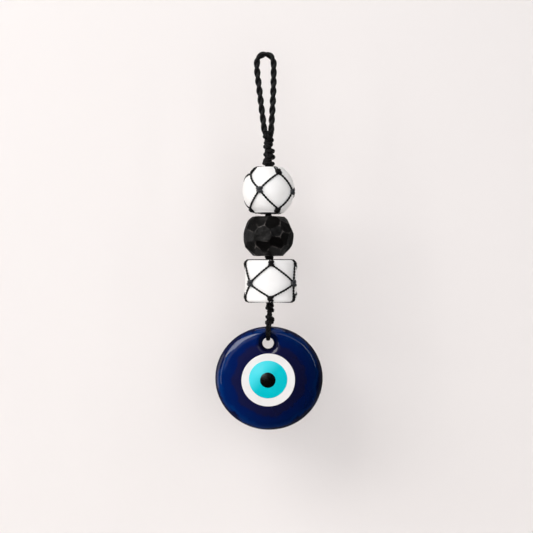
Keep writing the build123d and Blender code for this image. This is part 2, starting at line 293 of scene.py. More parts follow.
def black_wood_material():
    """Black stain on knife-cut wood, rubbed lighter here and there along the ridges."""
    m = Nodes("black_wood")
    m.set(Specular_IOR_Level=0.26)
    place = m.object_coordinates()
    grain = m.noise(m.scaled(place, (1.0, 1.0, 0.15)), 1500.0, 6.0, 0.65)
    patches = m.noise(place, 220.0, 4.0)
    wear = m.add("ShaderNodeAttribute", attribute_name="ridge").outputs["Fac"]
    stain = m.ramp(grain, ((0.3, (0.0008, 0.0006, 0.0006)), (0.7, (0.0036, 0.003, 0.0028))))
    rubbed = m.maths("MULTIPLY", wear, m.stretch(patches, -3.2, 3.5))
    m.link(m.tint(rubbed, stain, (0.085, 0.077, 0.073)), m.shader.inputs["Base Color"])
    m.link(m.stretch(patches, 0.24, 0.4), m.shader.inputs["Roughness"])
    m.link(m.bump(grain, 0.25, 0.0003), m.shader.inputs["Normal"])
    return m.material


def glass_material(name, deep, bright, roughness, painted_reflection=None, coat=0.6):
    """Coloured glass, poured by hand: gloss, faint clouds in the colour and a slightly wavy surface.

    A pour may be given a painted reflection: its colour turns paler towards its upper left.
    """
    m = Nodes(name)
    m.set(Coat_Weight=coat, Coat_Roughness=0.03, IOR=1.5)
    place = m.object_coordinates()
    clouds = m.noise(place, 120.0, 3.0, 0.5)
    colour = m.ramp(clouds, ((0.3, deep), (0.72, bright)))
    # Painted reflection: paler colour towards the upper left, where the light is reflected.
    if painted_reflection:
        split = m.add("ShaderNodeSeparateXYZ")
        m.link(place, split.inputs["Vector"])
        corner = m.maths("SUBTRACT", split.outputs["Z"], split.outputs["X"])
        middle = (iris_centre[2] - iris_centre[0]) * MM
        share = m.span(corner, middle - 1.0 * MM, middle + 11.0 * MM, 0.0, 1.0, smooth=True)
        colour = m.tint(share, colour, painted_reflection)
    m.link(colour, m.shader.inputs["Base Color"])
    m.link(m.stretch(m.noise(place, 400.0, 3.0), roughness, roughness * 2.2), m.shader.inputs["Roughness"])
    m.link(m.bump(m.noise(place, 90.0, 2.0), 0.12, 0.001), m.shader.inputs["Normal"])
    return m.material


def cobalt_material():
    """Deep blue glass: a violet painted reflection in the middle, with a torn edge, and a brighter blue
    outside it; painted lighter to the upper left and darker to the lower right, with painted shade in the
    dimple.
    """
    m = Nodes("cobalt_glass")
    m.set(Specular_IOR_Level=0.5, IOR=1.5)
    place = m.object_coordinates()
    split = m.add("ShaderNodeSeparateXYZ")
    m.link(place, split.inputs["Vector"])
    x = m.maths("SUBTRACT", split.outputs["X"], eye_centre[0] * MM)
    z = m.maths("SUBTRACT", split.outputs["Z"], eye_centre[2] * MM)
    reach = m.distance(x, z)
    torn = m.maths("MULTIPLY", m.maths("SUBTRACT", m.noise(place, 130.0, 5.0, 0.6), 0.5), 0.009)
    share = m.maths("DIVIDE", m.maths("ADD", reach, torn), eye_half[0] * MM)
    # The violet zone in the middle is a painted reflection.
    zones = m.ramp(share, (
        (0.5, (0.0065, 0.0075, 0.046)), (0.66, (0.0072, 0.0085, 0.05)), (0.71, (0.0004, 0.0085, 0.082)),
        (0.84, (0.0003, 0.0115, 0.09)), (0.9, (0.0003, 0.022, 0.125)), (0.95, (0.0003, 0.004, 0.045)),
        (1.0, (0.0003, 0.002, 0.03)),
    ))  # fmt: skip
    # Painted light and shade: the glass is painted lighter towards the upper left, where the light falls, and
    # darker towards the lower right.
    across_eye = m.maths("DIVIDE", m.maths("SUBTRACT", m.maths("MULTIPLY", z, 0.35), x), eye_half[0] * MM)
    depth = m.span(across_eye, -1.0, 0.8, 0.35, 1.15)
    # Painted shade: the glass is painted darkest in the dimple round the hole, where shade falls.
    hole_across = m.maths("SUBTRACT", split.outputs["X"], tie_centre_x * MM)
    hole_up = m.maths("SUBTRACT", split.outputs["Z"], (hole_z + 1.4) * MM)
    painted_dimple_shade = m.span(m.distance(hole_across, hole_up), 4.6 * MM, 6.8 * MM, 0.35, 1.0, smooth=True)
    scaled = m.add("ShaderNodeVectorMath", operation="SCALE")
    m.link(zones, scaled.inputs[0])
    m.link(m.maths("MULTIPLY", depth, painted_dimple_shade), scaled.inputs["Scale"])
    m.link(scaled.outputs["Vector"], m.shader.inputs["Base Color"])
    m.link(m.stretch(m.noise(place, 400.0, 3.0), 0.05, 0.12), m.shader.inputs["Roughness"])
    m.link(m.bump(m.noise(place, 90.0, 2.0), 0.12, 0.001), m.shader.inputs["Normal"])
    return m.material


def stage_material(name, colour, one_sided=False):
    m = Nodes(name)
    m.set(Roughness=0.9, Specular_IOR_Level=0.1)
    m.shader.inputs["Base Color"].default_value = (*colour, 1.0)
    if one_sided:
        behind = m.add("ShaderNodeNewGeometry").outputs["Backfacing"]
        mix = m.add("ShaderNodeMixShader")
        m.link(behind, mix.inputs["Fac"])
        m.link(m.shader.outputs["BSDF"], mix.inputs[1])
        m.link(m.add("ShaderNodeBsdfTransparent").outputs["BSDF"], mix.inputs[2])
        m.link(mix.outputs["Shader"], m.tree.nodes["Material Output"].inputs["Surface"])
    return m.material


# ---------------------------------------------------------------- mesh building
class Shape:
    """Rings of points joined into closed skins, in millimetres, with a UV along and round each skin."""

    def __init__(self):
        self.points, self.faces, self.uvs = [], [], []
        self.count = 0

    def skin(self, rings, along=None, closed=False):
        """Joins rings of equally many points, the last to the first if closed, or else with capped ends."""
        rings = np.asarray(rings, float)
        number, sides = rings.shape[:2]
        along = np.arange(number) if along is None else along
        start = self.count
        self.points.append(rings.reshape(-1, 3))
        self.count += number * sides
        for i in range(number if closed else number - 1):
            k = (i + 1) % number
            for j in range(sides):
                n = (j + 1) % sides
                self.faces.append((
                    start + i * sides + j, start + i * sides + n, start + k * sides + n, start + k * sides + j
                ))  # fmt: skip
                low, high = j / sides, (j + 1) / sides
                self.uvs += [(along[i], low), (along[i], high), (along[k], high), (along[k], low)]
        if not closed:
            for i, order in ((0, range(sides - 1, -1, -1)), (number - 1, range(sides))):
                self.faces.append([start + i * sides + j for j in order])
                self.uvs += [(along[i], 0.5)] * sides

    def to_object(self, name, material, body=None, stands_for=(), slot=None):
        mesh = bpy.data.meshes.new(name)
        mesh.from_pydata(np.concatenate(self.points) * MM, [], [tuple(face) for face in self.faces])
        layer = mesh.uv_layers.new(name="fibre")
        layer.data.foreach_set("uv", np.array(self.uvs, np.float32).ravel())
        mesh.polygons.foreach_set("use_smooth", [True] * len(mesh.polygons))
        return finish_piece(mesh, name, material, body, stands_for)


def finish_piece(mesh, name, material, body, stands_for):
    mesh.materials.append(material)
    mesh.update()
    obj = bpy.data.objects.new(name, mesh)
    bpy.context.scene.collection.objects.link(obj)
    if body:
        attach(obj, body)
    if stands_for:
        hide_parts(*stands_for)
    return obj


def resample(path, step):
    """The same line with points a step apart."""
    path = np.asarray(path, float)
    lengths = np.concatenate(([0], np.cumsum(np.linalg.norm(np.diff(path, axis=0), axis=1))))
    number = max(4, int(round(lengths[-1] / step)) + 1)
    at = np.linspace(0, lengths[-1], number)
    return np.stack([np.interp(at, lengths, path[:, k]) for k in range(3)], axis=1), at


def unit(v):
    return v / np.linalg.norm(v, axis=-1, keepdims=True)


def carried_frames(path):
    """A tangent and two normals at each point, carried along the path without twist."""
    tangents = unit(np.gradient(path, axis=0))
    side = np.cross(tangents[0], (0.31, -0.22, 0.93))
    if np.linalg.norm(side) < 0.1:
        side = np.cross(tangents[0], (0.9, 0.1, 0.1))
    sides = []
    for tangent in tangents:
        side = unit(side - tangent * side.dot(tangent))
        sides.append(side)
    sides = np.array(sides)
    return tangents, sides, np.cross(tangents, sides)


def tube(shape, path, radius, sides, lobe_turns, along):
    """A tube along a path, with the three faint lobes of a twist of yarns."""
    path = np.asarray(path, float)
    _, across, up = carried_frames(path)
    angles = np.arange(sides) * 2 * math.pi / sides
    turn = np.linspace(0, lobe_turns * 2 * math.pi, len(path))[:, None]
    reach = radius * (1 + 0.05 * np.cos(3 * (angles[None, :] - turn)))
    rings = (
        path[:, None, :]
        + (np.cos(angles)[None, :] * reach)[..., None] * across[:, None, :]
        + (np.sin(angles)[None, :] * reach)[..., None] * up[:, None, :]
    )
    shape.skin(rings, along)


def twisted(shape, path, width, pitch, phase=0.0, sides=10, swing=0.22):
    """A cord of two twisted plies along a path, width across at its bulges; swing is each ply's offset."""
    path, at = resample(path, min(pitch / 14, 0.5))
    _, across, up = carried_frames(path)
    for ply in (0, 0.5):
        angle = (phase + ply + at / pitch) * 2 * math.pi
        centre = path + swing * width * (np.cos(angle)[:, None] * across + np.sin(angle)[:, None] * up)
        tube(shape, centre, (0.505 - swing) * width, sides, lobe_turns=-at[-1] / pitch, along=at / 3)


# ---------------------------------------------------------------- beads' sides
def outward(azimuth):
    a = math.radians(azimuth)
    return np.array((math.sin(a), -math.cos(a), 0.0))


def across(azimuth):
    a = math.radians(azimuth)
    return np.array((math.cos(a), math.sin(a), 0.0))


class Barrel:
    """The upper bead's side: half an ellipse turned about the bead's axis."""

    centre = upper_centre
    flat, half, radius = 7.9, upper_half[2], upper_half[0]
    rise = half / math.sqrt(1 - (flat / radius) ** 2)

    def reach(self, height):
        return self.radius * math.sqrt(1 - (height / self.rise) ** 2)

    def normal(self, azimuth, height):
        return unit(outward(azimuth) * self.reach(height) / self.radius**2 + (0, 0, height / self.rise**2))

    def point(self, azimuth, height, lift):
        on_side = outward(azimuth) * self.reach(height) + (0, 0, height)
        return self.centre + on_side + self.normal(azimuth, height) * lift


class Drum:
    """The lower bead's side."""

    centre = lower_centre
    half, radius = lower_half[2], lower_half[0]

    def normal(self, azimuth, height):
        return outward(azimuth)

    def point(self, azimuth, height, lift):
        return self.centre + outward(azimuth) * (self.radius + lift) + (0, 0, height)


# ---------------------------------------------------------------- beads
def wobble(points, centre, size, depth, seed):
    """Moves points in and out from a centre by a smooth noise."""
    moved = []
    for p in points:
        direction = unit(p - centre)
        shift = noise.noise(Vector(p / size) + Vector((seed, 0, 0))) * depth
        moved.append(p + direction * shift)
    return np.array(moved)


def turned_bead(name, centre, profile, material, body, stands_for, slot, seed):
    """Turns a closed profile of (radius, height) points about the bead's axis, with hand-made unevenness."""
    segments = 144
    angles = np.arange(segments) * 2 * math.pi / segments
    rings = []
    for radius, height in profile:
        x, y = radius * np.sin(angles), -radius * np.cos(angles)
        rings.append(np.stack((x, y, np.full(segments, height)), axis=1) + centre)
    rings = np.array(rings)
    shape = Shape()
    rings = wobble(rings.reshape(-1, 3), centre, 6.0, 0.12, seed).reshape(rings.shape)
    shape.skin(rings, closed=True)
    return shape.to_object(name, material, body, stands_for, slot)


def arc_points(cx, cz, radius, start, end, number):
    return [
        (cx + radius * math.cos(math.radians(a)), cz + radius * math.sin(math.radians(a)))
        for a in np.linspace(start, end, number)
    ]


def barrel_profile():
    side = Barrel()
    bore, mouth, rim = 2.5, 0.8, 1.0
    edge = side.half - rim * 0.75
    outer = [(side.reach(height), height) for height in np.linspace(edge, -edge, 56)]
    top_flat = [(r, side.half) for r in np.linspace(bore + mouth, outer[0][0] - rim, 8)]
    rounding = [(outer[0][0] - rim * 0.45, side.half - 0.07), (outer[0][0] - rim * 0.12, side.half - 0.32)]
    upper = top_flat + rounding
    lower = [(r, -z) for r, z in reversed(upper)]
    wall = [(bore, z) for z in np.linspace(-side.half + mouth, side.half - mouth, 12)]
    return upper + outer + lower + wall


def drum_profile():
    side = Drum()
    bore, mouth, edge = 2.5, 0.8, 1.8
    corner = arc_points(side.radius - edge, side.half - edge, edge, 90, 0, 9)
    top = [(r, side.half) for r in np.linspace(bore + mouth, side.radius - edge - 0.3, 9)]
    straight = [(side.radius, z) for z in np.linspace(side.half - edge - 0.4, -side.half + edge + 0.4, 36)]
    upper = top + corner
    lower = [(r, -z) for r, z in reversed(upper)]
    wall = [(bore, z) for z in np.linspace(-side.half + mouth, side.half - mouth, 12)]
    return upper + straight + lower + wall


def faceted_bead(material):
    """A ball cut flat by hand, with soft ridges."""
    radius, rise, depth = 14.35, 14.0, 0.937
    ball = bmesh.new()
    bmesh.ops.create_icosphere(ball, subdivisions=5, radius=1.0)
    for vert in ball.verts:
        vert.co = Vector((vert.co.x * radius, vert.co.y * radius, vert.co.z * rise))
    cuts = []
    for azimuth, latitude in facets:
        tilt = math.radians(latitude)
        on_ball = outward(azimuth) * radius * math.cos(tilt) + (0, 0, rise * math.sin(tilt))
        square = outward(azimuth) * math.cos(tilt) / radius + (0, 0, math.sin(tilt) / rise)
        cuts.append((on_ball * depth, square))
    half = faceted_half[2]
    cuts += [(np.array((0, 0, half)), np.array((0, 0, 1))), (np.array((0, 0, -half)), np.array((0, 0, -1)))]
    for place, square in cuts:
        everything = ball.verts[:] + ball.edges[:] + ball.faces[:]
        cut = bmesh.ops.bisect_plane(
            ball, geom=everything, plane_co=Vector(place), plane_no=Vector(square), clear_outer=True
        )
        edges = [item for item in cut["geom_cut"] if isinstance(item, bmesh.types.BMEdge)]
        if edges:
            bmesh.ops.holes_fill(ball, edges=edges)
    bmesh.ops.triangulate(ball, faces=ball.faces[:])
    mesh = bpy.data.meshes.new("faceted_bead_skin")
    ball.to_mesh(mesh)
    ball.free()
    obj = bpy.data.objects.new("faceted_bead_skin", mesh)
    bpy.context.scene.collection.objects.link(obj)
    remesh = obj.modifiers.new("even", "REMESH")
    remesh.mode, remesh.voxel_size = "VOXEL", 0.18
    smooth = obj.modifiers.new("soften", "SMOOTH")
    smooth.factor, smooth.iterations = 0.5, 3
    even = bpy.data.meshes.new_from_object(obj.evaluated_get(bpy.context.evaluated_depsgraph_get()))
    bpy.data.objects.remove(obj)
    points = np.empty(len(even.vertices) * 3)
    even.vertices.foreach_get("co", points)
    points = points.reshape(-1, 3)
    squares = unit(np.array([square for _, square in cuts], float))
    depths = (np.array([place for place, _ in cuts]) * squares).sum(axis=1)
    gaps = np.sort(depths - points @ squares.T, axis=1)
    ridge = np.clip(1 - (gaps[:, 1] - gaps[:, 0]) / 0.22, 0, 1)
    points = wobble(points, np.zeros(3), 3.5, 0.26, 5.0)
    points = wobble(points, np.zeros(3), 0.9, 0.05, 9.0) + faceted_centre
    even.vertices.foreach_set("co", (points * MM).ravel())
    even.polygons.foreach_set("use_smooth", [True] * len(even.polygons))
    layer = even.attributes.new("ridge", "FLOAT", "POINT")
    layer.data.foreach_set("value", ridge)
    return finish_piece(even, "carved_bead", material, "faceted_bead", ["faceted_bead"])


# ---------------------------------------------------------------- nets
def tucked(t):
    """From 0.35 at both ends of a strand's turn to 1 along it, so that its ends hide in the knot."""
    return 0.35 + 0.65 * np.clip(np.minimum(t, 1 - t) / 0.14, 0, 1) ** 0.7


def squared(wave):
    """A sine or cosine pressed towards a square wave, so that a turn gets flat sides."""
    return np.sign(wave) * np.abs(wave) ** 0.65


def knot(shape, place, sideways, normal, scale=1.0, phase=0.0):
    """A small tight square knot: two flat wraps, leaning opposite ways, round the pair that runs through."""
    upward = np.cross(normal, sideways)
    t = np.linspace(0, 1, 44)
    thickness = strand * (0.8 + 0.75 * scale)
    for level, lean in ((0.66, 0.24), (-0.66, -0.24)):
        angle = (1.25 * t + 0.4 + phase * 0.1) * 2 * math.pi
        over, round_ = squared(np.cos(angle)), squared(np.sin(angle))
        path = (
            place
            + (0.95 * scale * over * tucked(t))[:, None] * sideways
            + (0.5 * scale * round_ * tucked(t))[:, None] * normal
            + ((level + lean * np.cos(angle) + (t - 0.5) * 0.3) * scale)[:, None] * upward
        )
        twisted(shape, path, thickness, 4.2, phase=phase, sides=10, swing=0.17)
    core = [place + upward * h * scale for h in (-1.3, -0.5, 0.5, 1.3)]
    twisted(shape, core, 2.1 * scale, 4.0, phase=phase, sides=8)


def bedded(azimuth, lift):
    """Round the two sides the strands are pulled tighter and bed deeper into the paint.

    They bed deepest at 90 degrees, where the bead's outline is from the front.
    """
    from_front = abs((azimuth + 180) % 360 - 180)
    beyond = from_front - 62
    on_side = min(1, max(0, beyond / 10)) * min(1, max(0, (70 - beyond) / 20))
    on_outline = math.exp(-(((from_front - 90) / 11) ** 2))
    return lift - 0.34 * on_side - 0.26 * on_outline


def late(t, power):
    """t bent so that it grows late, or early for a negative power."""
    return t**power if power > 0 else 1 - (1 - t) ** -power


def level_between(side, start, end, lift, power, number=40):
    """A line over a bead's side whose height changes late or early along it."""
    line = []
    for t in np.linspace(0, 1, number):
        azimuth = start[0] * (1 - t) + end[0] * t
        height = start[1] + (end[1] - start[1]) * late(t, power)
        line.append(side.point(azimuth, height, bedded(azimuth, lift)))
    return np.array(line)


def barrel_between(side, start, end, lift, bow=0.0, number=40):
    """The tight line over the barrel's side from one (azimuth, height) to another."""
    first, last = side.point(*start, lift) - side.centre, side.point(*end, lift) - side.centre
    line = []
    for t in np.linspace(0, 1, number):
        p = first * (1 - t) + last * t
        azimuth = math.degrees(math.atan2(p[0], -p[1])) + bow * math.sin(math.pi * t)
        slope = p[2] / math.hypot(p[0], p[1])
        height = p[2]
        for _ in range(12):
            height = slope * side.reach(max(-side.half, min(side.half, height)))
        line.append(side.point(azimuth, height, bedded(azimuth, lift)))
    return np.array(line)


def drum_between(side, start, end, lift, bow=0.0, number=40):
    """The same over the cylinder's side."""
    line = []
    for t in np.linspace(0, 1, number):
        azimuth = start[0] * (1 - t) + end[0] * t + bow * math.sin(math.pi * t)
        line.append(side.point(azimuth, start[1] * (1 - t) + end[1] * t, bedded(azimuth, lift)))
    return np.array(line)


def make_net(name, side, net, between, corner, body, material, dice):
    """The seven groups of one net, each standing for its CAD node."""
    lift = strand / 2 - 0.15
    for ring, upward, label in (("top", 1, "crown"), ("bottom", -1, "base")):
        ends, diagonals, knots = Shape(), Shape(), Shape()
        # On the bead's end the strands bed into the paint, and only their backs show.
        end_z = upward * (side.half - 0.1)
        for k, (azimuth, height) in enumerate(net[ring]):
            start = side.point(azimuth, height, lift) - side.centre
            reach = start.dot(outward(azimuth))
            bend = [(reach, start[2])] + corner_points(reach, start[2], corner, end_z) + [(1.7, end_z)]
            for sideways in (-1, 1):
                shift = across(azimuth) * sideways * (strand + pair_gap) / 2
                path = [
                    side.centre + shift * min(1, r / 4) + outward(azimuth) * r + (0, 0, z) for r, z in bend
                ]  # fmt: skip
                twisted(ends, path, strand, 3.4, phase=dice.random(), sides=8)
            for sideways, (middle, waist) in ((-1, net["middle"][k]), (1, net["middle"][(k + 1) % 4])):
                if sideways == 1 and middle < azimuth:
                    middle += 360
                begin = (azimuth + 2.4 * sideways, height - upward * 0.9)
                finish = (middle - 2.4 * sideways, waist + upward * 0.9)
                way = (name, ring, k, sideways)
                if way in climb:
                    line = level_between(side, begin, finish, lift, climb[way])
                else:
                    line = between(side, begin, finish, lift, slack.get(way, 0.0))
                twisted(diagonals, line, strand, 3.4, phase=dice.random(), sides=8)
            scale = small_knots.get((name, ring, k), 1.0)
            place = side.point(azimuth, height, 0.1 + 0.6 * scale)
            knot(knots, place, across(azimuth), side.normal(azimuth, height), scale, dice.random())
        groups = ((ends, f"{label}_strands"), (diagonals, f"{ring}_diagonals"), (knots, f"{ring}_knots"))
        for shape, piece in groups:
            shape.to_object(f"{name}_{piece}", material, body, [f"{name}_net_{piece}"], "black_cord")
    knots = Shape()
    for k, (azimuth, height) in enumerate(net["middle"]):
        share = small_knots.get((name, "middle", k), 1.0)
        scale = 1.15 * share
        place = side.point(azimuth, height, 0.7 * share)
        knot(knots, place, across(azimuth), side.normal(azimuth, height), scale, dice.random())
    # The middle knots take the cord with the painted sheen.
    knots.to_object(f"{name}_middle_knots", sheen_painted_cord, body, [f"{name}_net_middle_knots"], "black_cord")


def corner_points(start_reach, start_z, corner, end_z):
    """A rounded corner from a strand's start, over a bead's edge, to its flat end."""
    reach, radius = corner
    arrive = unit(np.array((reach - start_reach, end_z - start_z)))
    points = []
    edge = np.array((reach, end_z))
    before, after = edge - arrive * radius, np.array((reach - radius, end_z))
    for t in np.linspace(0, 1, 9):
        points.append(tuple((1 - t) ** 2 * before + 2 * t * (1 - t) * edge + t * t * after))
    return points


# ---------------------------------------------------------------- knotted string
def sennit(shape, centre_line, width, depth, tilt, thickness, phase=0.0):
    """One half of a square knot: a working strand that goes round the core at a slant."""
    t = np.linspace(0, 1, 56)
    angle = (t * 1.3 + phase) * 2 * math.pi
    path = (
        np.asarray(centre_line)
        + ((width - thickness / 2) * np.cos(angle) * tucked(t))[:, None] * (1, 0, 0)
        + ((depth - thickness / 2) * np.sin(angle) * tucked(t))[:, None] * (0, -1, 0)
        + (tilt * np.cos(angle) + (t - 0.5) * thickness * 0.6)[:, None] * (0, 0, 1)
    )
    twisted(shape, path, thickness, 4.4, phase=phase, sides=10)


def bundle(name, low, high, x, radius, bodies, stands_for=()):
    """Four strands side by side, between two heights. On two bodies it is attached to neither."""
    shape = Shape()
    line = [(x[0] + (x[1] - x[0]) * t, 0, high + (low - high) * t) for t in np.linspace(0, 1, 16)]
    for k in range(4):
        angle = k * math.pi / 2 + 0.4
        off = np.array((math.cos(angle), math.sin(angle), 0)) * radius * 0.5
        twisted(shape, np.array(line) + off, radius * 1.05, 3.0, phase=k / 4, sides=8)
    obj = shape.to_object(name, cord, bodies[0] if len(bodies) == 1 else None, stands_for, "black_cord")
    if len(bodies) > 1:
        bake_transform(obj)


# ---------------------------------------------------------------- glass eye
def rounding(inset, wide, deep):
    """How far a rim that is rounded as a quarter of an ellipse falls back at an inset from its edge."""
    return deep * (1 - np.sqrt(1 - np.clip(1 - inset / wide, 0, 1) ** 2))


def eye_rings():
    """Rings from the hole's wall over the front face, round the rim and over the back to the hole."""
    count, steps = 224, 70
    angles = np.arange(count) * 2 * math.pi / count
    around = np.stack((np.sin(angles), np.cos(angles)), axis=1)
    wide, thick, high = eye_half[0], 2 * eye_half[1], eye_half[2]
    hole = np.array((tie_centre_x, hole_z))
    centre = np.array((eye_centre[0], eye_centre[2]))
    inner, outer = hole + hole_radius * around, centre + around * (wide, high)

    def face(surface, inward, mouth, mouth_deep, rim_wide, rim_deep):
        """One face, from the hole's edge out to the rim."""
        rings = []
        for t in (1 - np.cos(np.linspace(0, math.pi, steps))) / 2:
            place = inner * (1 - t) + outer * t
            off = (place - centre) / (wide, high)
            inset = (1 - np.linalg.norm(off, axis=1)) * (wide + high) / 2
            from_hole = np.linalg.norm(place - hole, axis=1)
            dimple = mouth_deep * np.clip((mouth - from_hole) / (mouth - hole_radius), 0, 1) ** 1.9
            y = surface + inward * np.minimum(rounding(inset, rim_wide, rim_deep) + dimple, thick * 0.6)
            rings.append(np.stack((place[:, 0], y, place[:, 1]), axis=1))
        return rings

    front = face(-thick / 2, 1, 6.9, 3.2, 6.0, 5.4)
    back = face(thick / 2, -1, 5.4, 2.0, 3.4, 3.4)[::-1]
    wall = [back[-1] * (1 - t) + front[0] * t for t in np.linspace(0, 1, 9)[1:-1]]
    return np.array(front + back[1:] + wall)


def ripple(points, size, depth, seed):
    """Moves points front to back by a smooth noise, as on poured glass."""
    moved = points.copy()
    for p in moved:
        p[1] += noise.noise(Vector(p / size) + Vector((seed, 0, 0))) * depth
    return moved


def glass_drop(name, radius, edge, top, shoulder, seed, material, node, shift, squash):
    """A pool of glass with a rounded edge: edge and top are how proud its rim and its middle stand."""
    front = eye_centre[1] - eye_half[1]
    count = 144
    angles = np.arange(count) * 2 * math.pi / count
    hand = 1 + 0.006 * np.sin(2 * angles + seed) + 0.004 * np.sin(3 * angles + 2 * seed)
    profile = [(0.0, 0.6), (radius * 0.6, 0.6), (radius, 0.6), (radius, -edge * 0.2)]
    for a in np.radians(np.linspace(0, 90, 9))[1:]:
        profile.append((radius - shoulder * (1 - math.cos(a)), -edge * 0.2 - edge * 0.8 * math.sin(a)))
    for t in np.linspace(0, 1, 14)[1:]:
        r = (radius - shoulder) * (1 - t)
        profile.append((r, -edge - (top - edge) * (1 - (r / (radius - shoulder)) ** 2)))
    rings = []
    for r, y in profile:
        x = iris_centre[0] + shift[0] + max(r, 0.001) * hand * np.sin(angles)
        z = iris_centre[2] + shift[1] + max(r, 0.001) * hand * np.cos(angles) * squash
        rings.append(np.stack((x, np.full(count, front + y), z), axis=1))
    shape = Shape()
    shape.skin(np.array(rings)[:, ::-1])
    return shape.to_object(name, material, "eye", [node], None)


# ---------------------------------------------------------------- put together
dice = random.Random(7)
cord = cord_material("black_cord", 0.28, 0.34, (0.0009, 0.0008, 0.001), (0.006, 0.0052, 0.0055))
# The middle knots' cord: glossier, with a lighter bluish base colour that is a painted sheen from the light
# on the left.
sheen_painted_cord = cord_material("sheen_painted_cord", 1.0, 0.24, (0.01, 0.012, 0.0145), (0.022, 0.026, 0.031))
white_wood = white_wood_material()
black_wood = black_wood_material()
cobalt = cobalt_material()
white_glass = glass_material("white_glass", (0.82, 0.8, 0.785), (0.88, 0.865, 0.85), 0.12)
# The turquoise gets a painted reflection, paler towards its upper left.
turquoise = glass_material(
    "turquoise_glass", (0.0002, 0.51, 0.59), (0.0012, 0.58, 0.66), 0.05, painted_reflection=(0.07, 0.73, 0.82)
)
black_glass = glass_material(
    "black_glass", (0.0006, 0.0005, 0.0005), (0.0018, 0.0012, 0.0011), 0.17, coat=0.05
)

make_camera()

# Hanging loop: a NURBS line over the hook, and two plies twisted along it.
curve = bpy.data.curves.new("loop_line", "CURVE")
curve.dimensions = "3D"
spline = curve.splines.new("NURBS")
spline.points.add(len(loop_route) - 1)
for point, (x, z) in zip(spline.points, loop_route):
    point.co = (x * MM, 0, z * MM, 1)
spline.order_u = 3
spline.use_endpoint_u = True
curve.resolution_u = 24
line_object = bpy.data.objects.new("loop_line", curve)
bpy.context.scene.collection.objects.link(line_object)
bpy.context.view_layer.update()
line_mesh = bpy.data.meshes.new_from_object(line_object)
loop_line = np.array([vert.co for vert in line_mesh.vertices]) / MM
bpy.data.objects.remove(line_object)
loop_shape = Shape()
loop_path, loop_at = resample(loop_line, 0.4)
twisted(loop_shape, loop_path, rope, 10.4, phase=0.1, sides=16, swing=0.195)
loop = loop_shape.to_object("twisted_loop", cord, "cord", ["hanging_loop"], "black_cord")
print("loop length", round(loop_at[-1], 1))

# Throat and neck. Each turn has its height, x, half width, half depth, tilt, any thickness, and phase.
string_x = (neck_low[0] + neck_high[0]) / 2
throat = Shape()
for z, x, width, depth, tilt, phase in (
    (-43.2, 1.65, 3.4, 2.6, 0.5, 0.1), (-45.2, 1.65, 3.4, 2.6, -0.7, 0.6), (-47.0, 1.6, 2.5, 2.4, 0.4, 0.2),
):  # fmt: skip
    sennit(throat, (x, 0, z), width, depth, tilt, 2.9, phase)
twisted(throat, [(-0.35, 0, -41.2), (0.5, -0.2, -44.0), (1.3, -0.3, -46.5), (1.6, 0, -49.0)], 3.0, 7.0)
right_foot = [(3.25, 0, -41.2), (2.9, 0.2, -44.0), (2.3, 0.3, -46.5), (2.0, 0, -49.0)]
twisted(throat, right_foot, 3.0, 7.0, phase=0.3)
twisted(throat, [(-0.2, -0.6, -42.3), (0.9, -2.5, -43.8), (2.6, -2.6, -45.6), (3.0, -0.9, -47.2)], 1.9, 4.6)
throat.to_object("throat_knots", cord, "cord", ["throat_knot"], "black_cord")
neck = Shape()
for z, x, width, depth, tilt, thickness, phase in (
    (-49.5, 1.7, 2.95, 2.7, 0.3, 2.9, 0.0), (-53.0, 2.3, 3.15, 2.7, 0.45, 2.7, 0.25),
    (-54.9, 1.85, 3.0, 2.7, -0.4, 2.8, 0.8), (-56.7, 2.15, 3.6, 2.9, 0.7, 3.0, 0.1),
    (-59.4, 1.8, 3.6, 2.9, 0.15, 2.2, 0.6),
):  # fmt: skip
    sennit(neck, (x, 0, z), width, depth, tilt, thickness, phase)
for off, phase in ((-0.6, 0.0), (0.6, 0.5)):
    core = [(string_x + off, off * 0.6, z) for z in (-47.5, -51.0, -55.0, -60.0)]
    twisted(neck, core, 3.1, 7.0, phase=phase)
neck.to_object("neck_knots", cord, "cord", ["neck_sennit"], "black_cord")

# Beads and nets.
for name, side, profile, body, seed in (
    ("white_barrel", Barrel, barrel_profile(), "upper_bead", 1.0),
    ("white_cylinder", Drum, drum_profile(), "lower_bead", 4.0),
):
    turned_bead(name, side.centre, profile, white_wood, body, [body], "white_wood", seed)
faceted_bead(black_wood)
make_net("upper", Barrel(), upper_net, barrel_between, (8.3, 1.6), "upper_bead", cord, dice)
make_net("lower", Drum(), lower_net, drum_between, (Drum.radius + 0.35, 2.3), "lower_bead", cord, dice)

# The string in the gaps between the pieces, at the joints.
upper_top = upper_centre[2] + upper_half[2]
upper_bottom = upper_centre[2] - upper_half[2]
lower_top = lower_centre[2] + lower_half[2]
lower_bottom = lower_centre[2] - lower_half[2]
faceted_top = faceted_centre[2] + faceted_half[2]
faceted_bottom = faceted_centre[2] - faceted_half[2]
bundle(
    "neck_string", upper_top - 0.5, neck_low[2] + 1.2, (1.8, 1.9), 2.2, ("cord", "upper_bead")
)
bundle(
    "upper_string", faceted_top - 0.6, upper_bottom + 0.5, (1.85, 1.75), 1.9, ("upper_bead", "middle_cord"),
)  # fmt: skip
bundle(
    "bore_string", faceted_bottom - 0.3, faceted_top + 0.1, (1.75, 1.75), 1.75, ("middle_cord",),
    stands_for=["cord_bundle"],
)  # fmt: skip
bundle(
    "lower_string", lower_top - 0.5, faceted_bottom + 0.2, (2.0, 2.5), 2.3, ("middle_cord", "lower_bead"),
)  # fmt: skip
stopper = Shape()
for z, tilt, phase in ((stopper_high[2] - 0.3, 0.12, 0.1), (stopper_low[2] + 0.05, -0.12, 0.5)):
    sennit(stopper, ((stopper_low[0] + stopper_high[0]) / 2, 0, z), 2.6, 2.5, tilt, 1.2, phase)
stopper.to_object("stopper_knots", cord, "middle_cord", ["stopper_knot"], "black_cord")

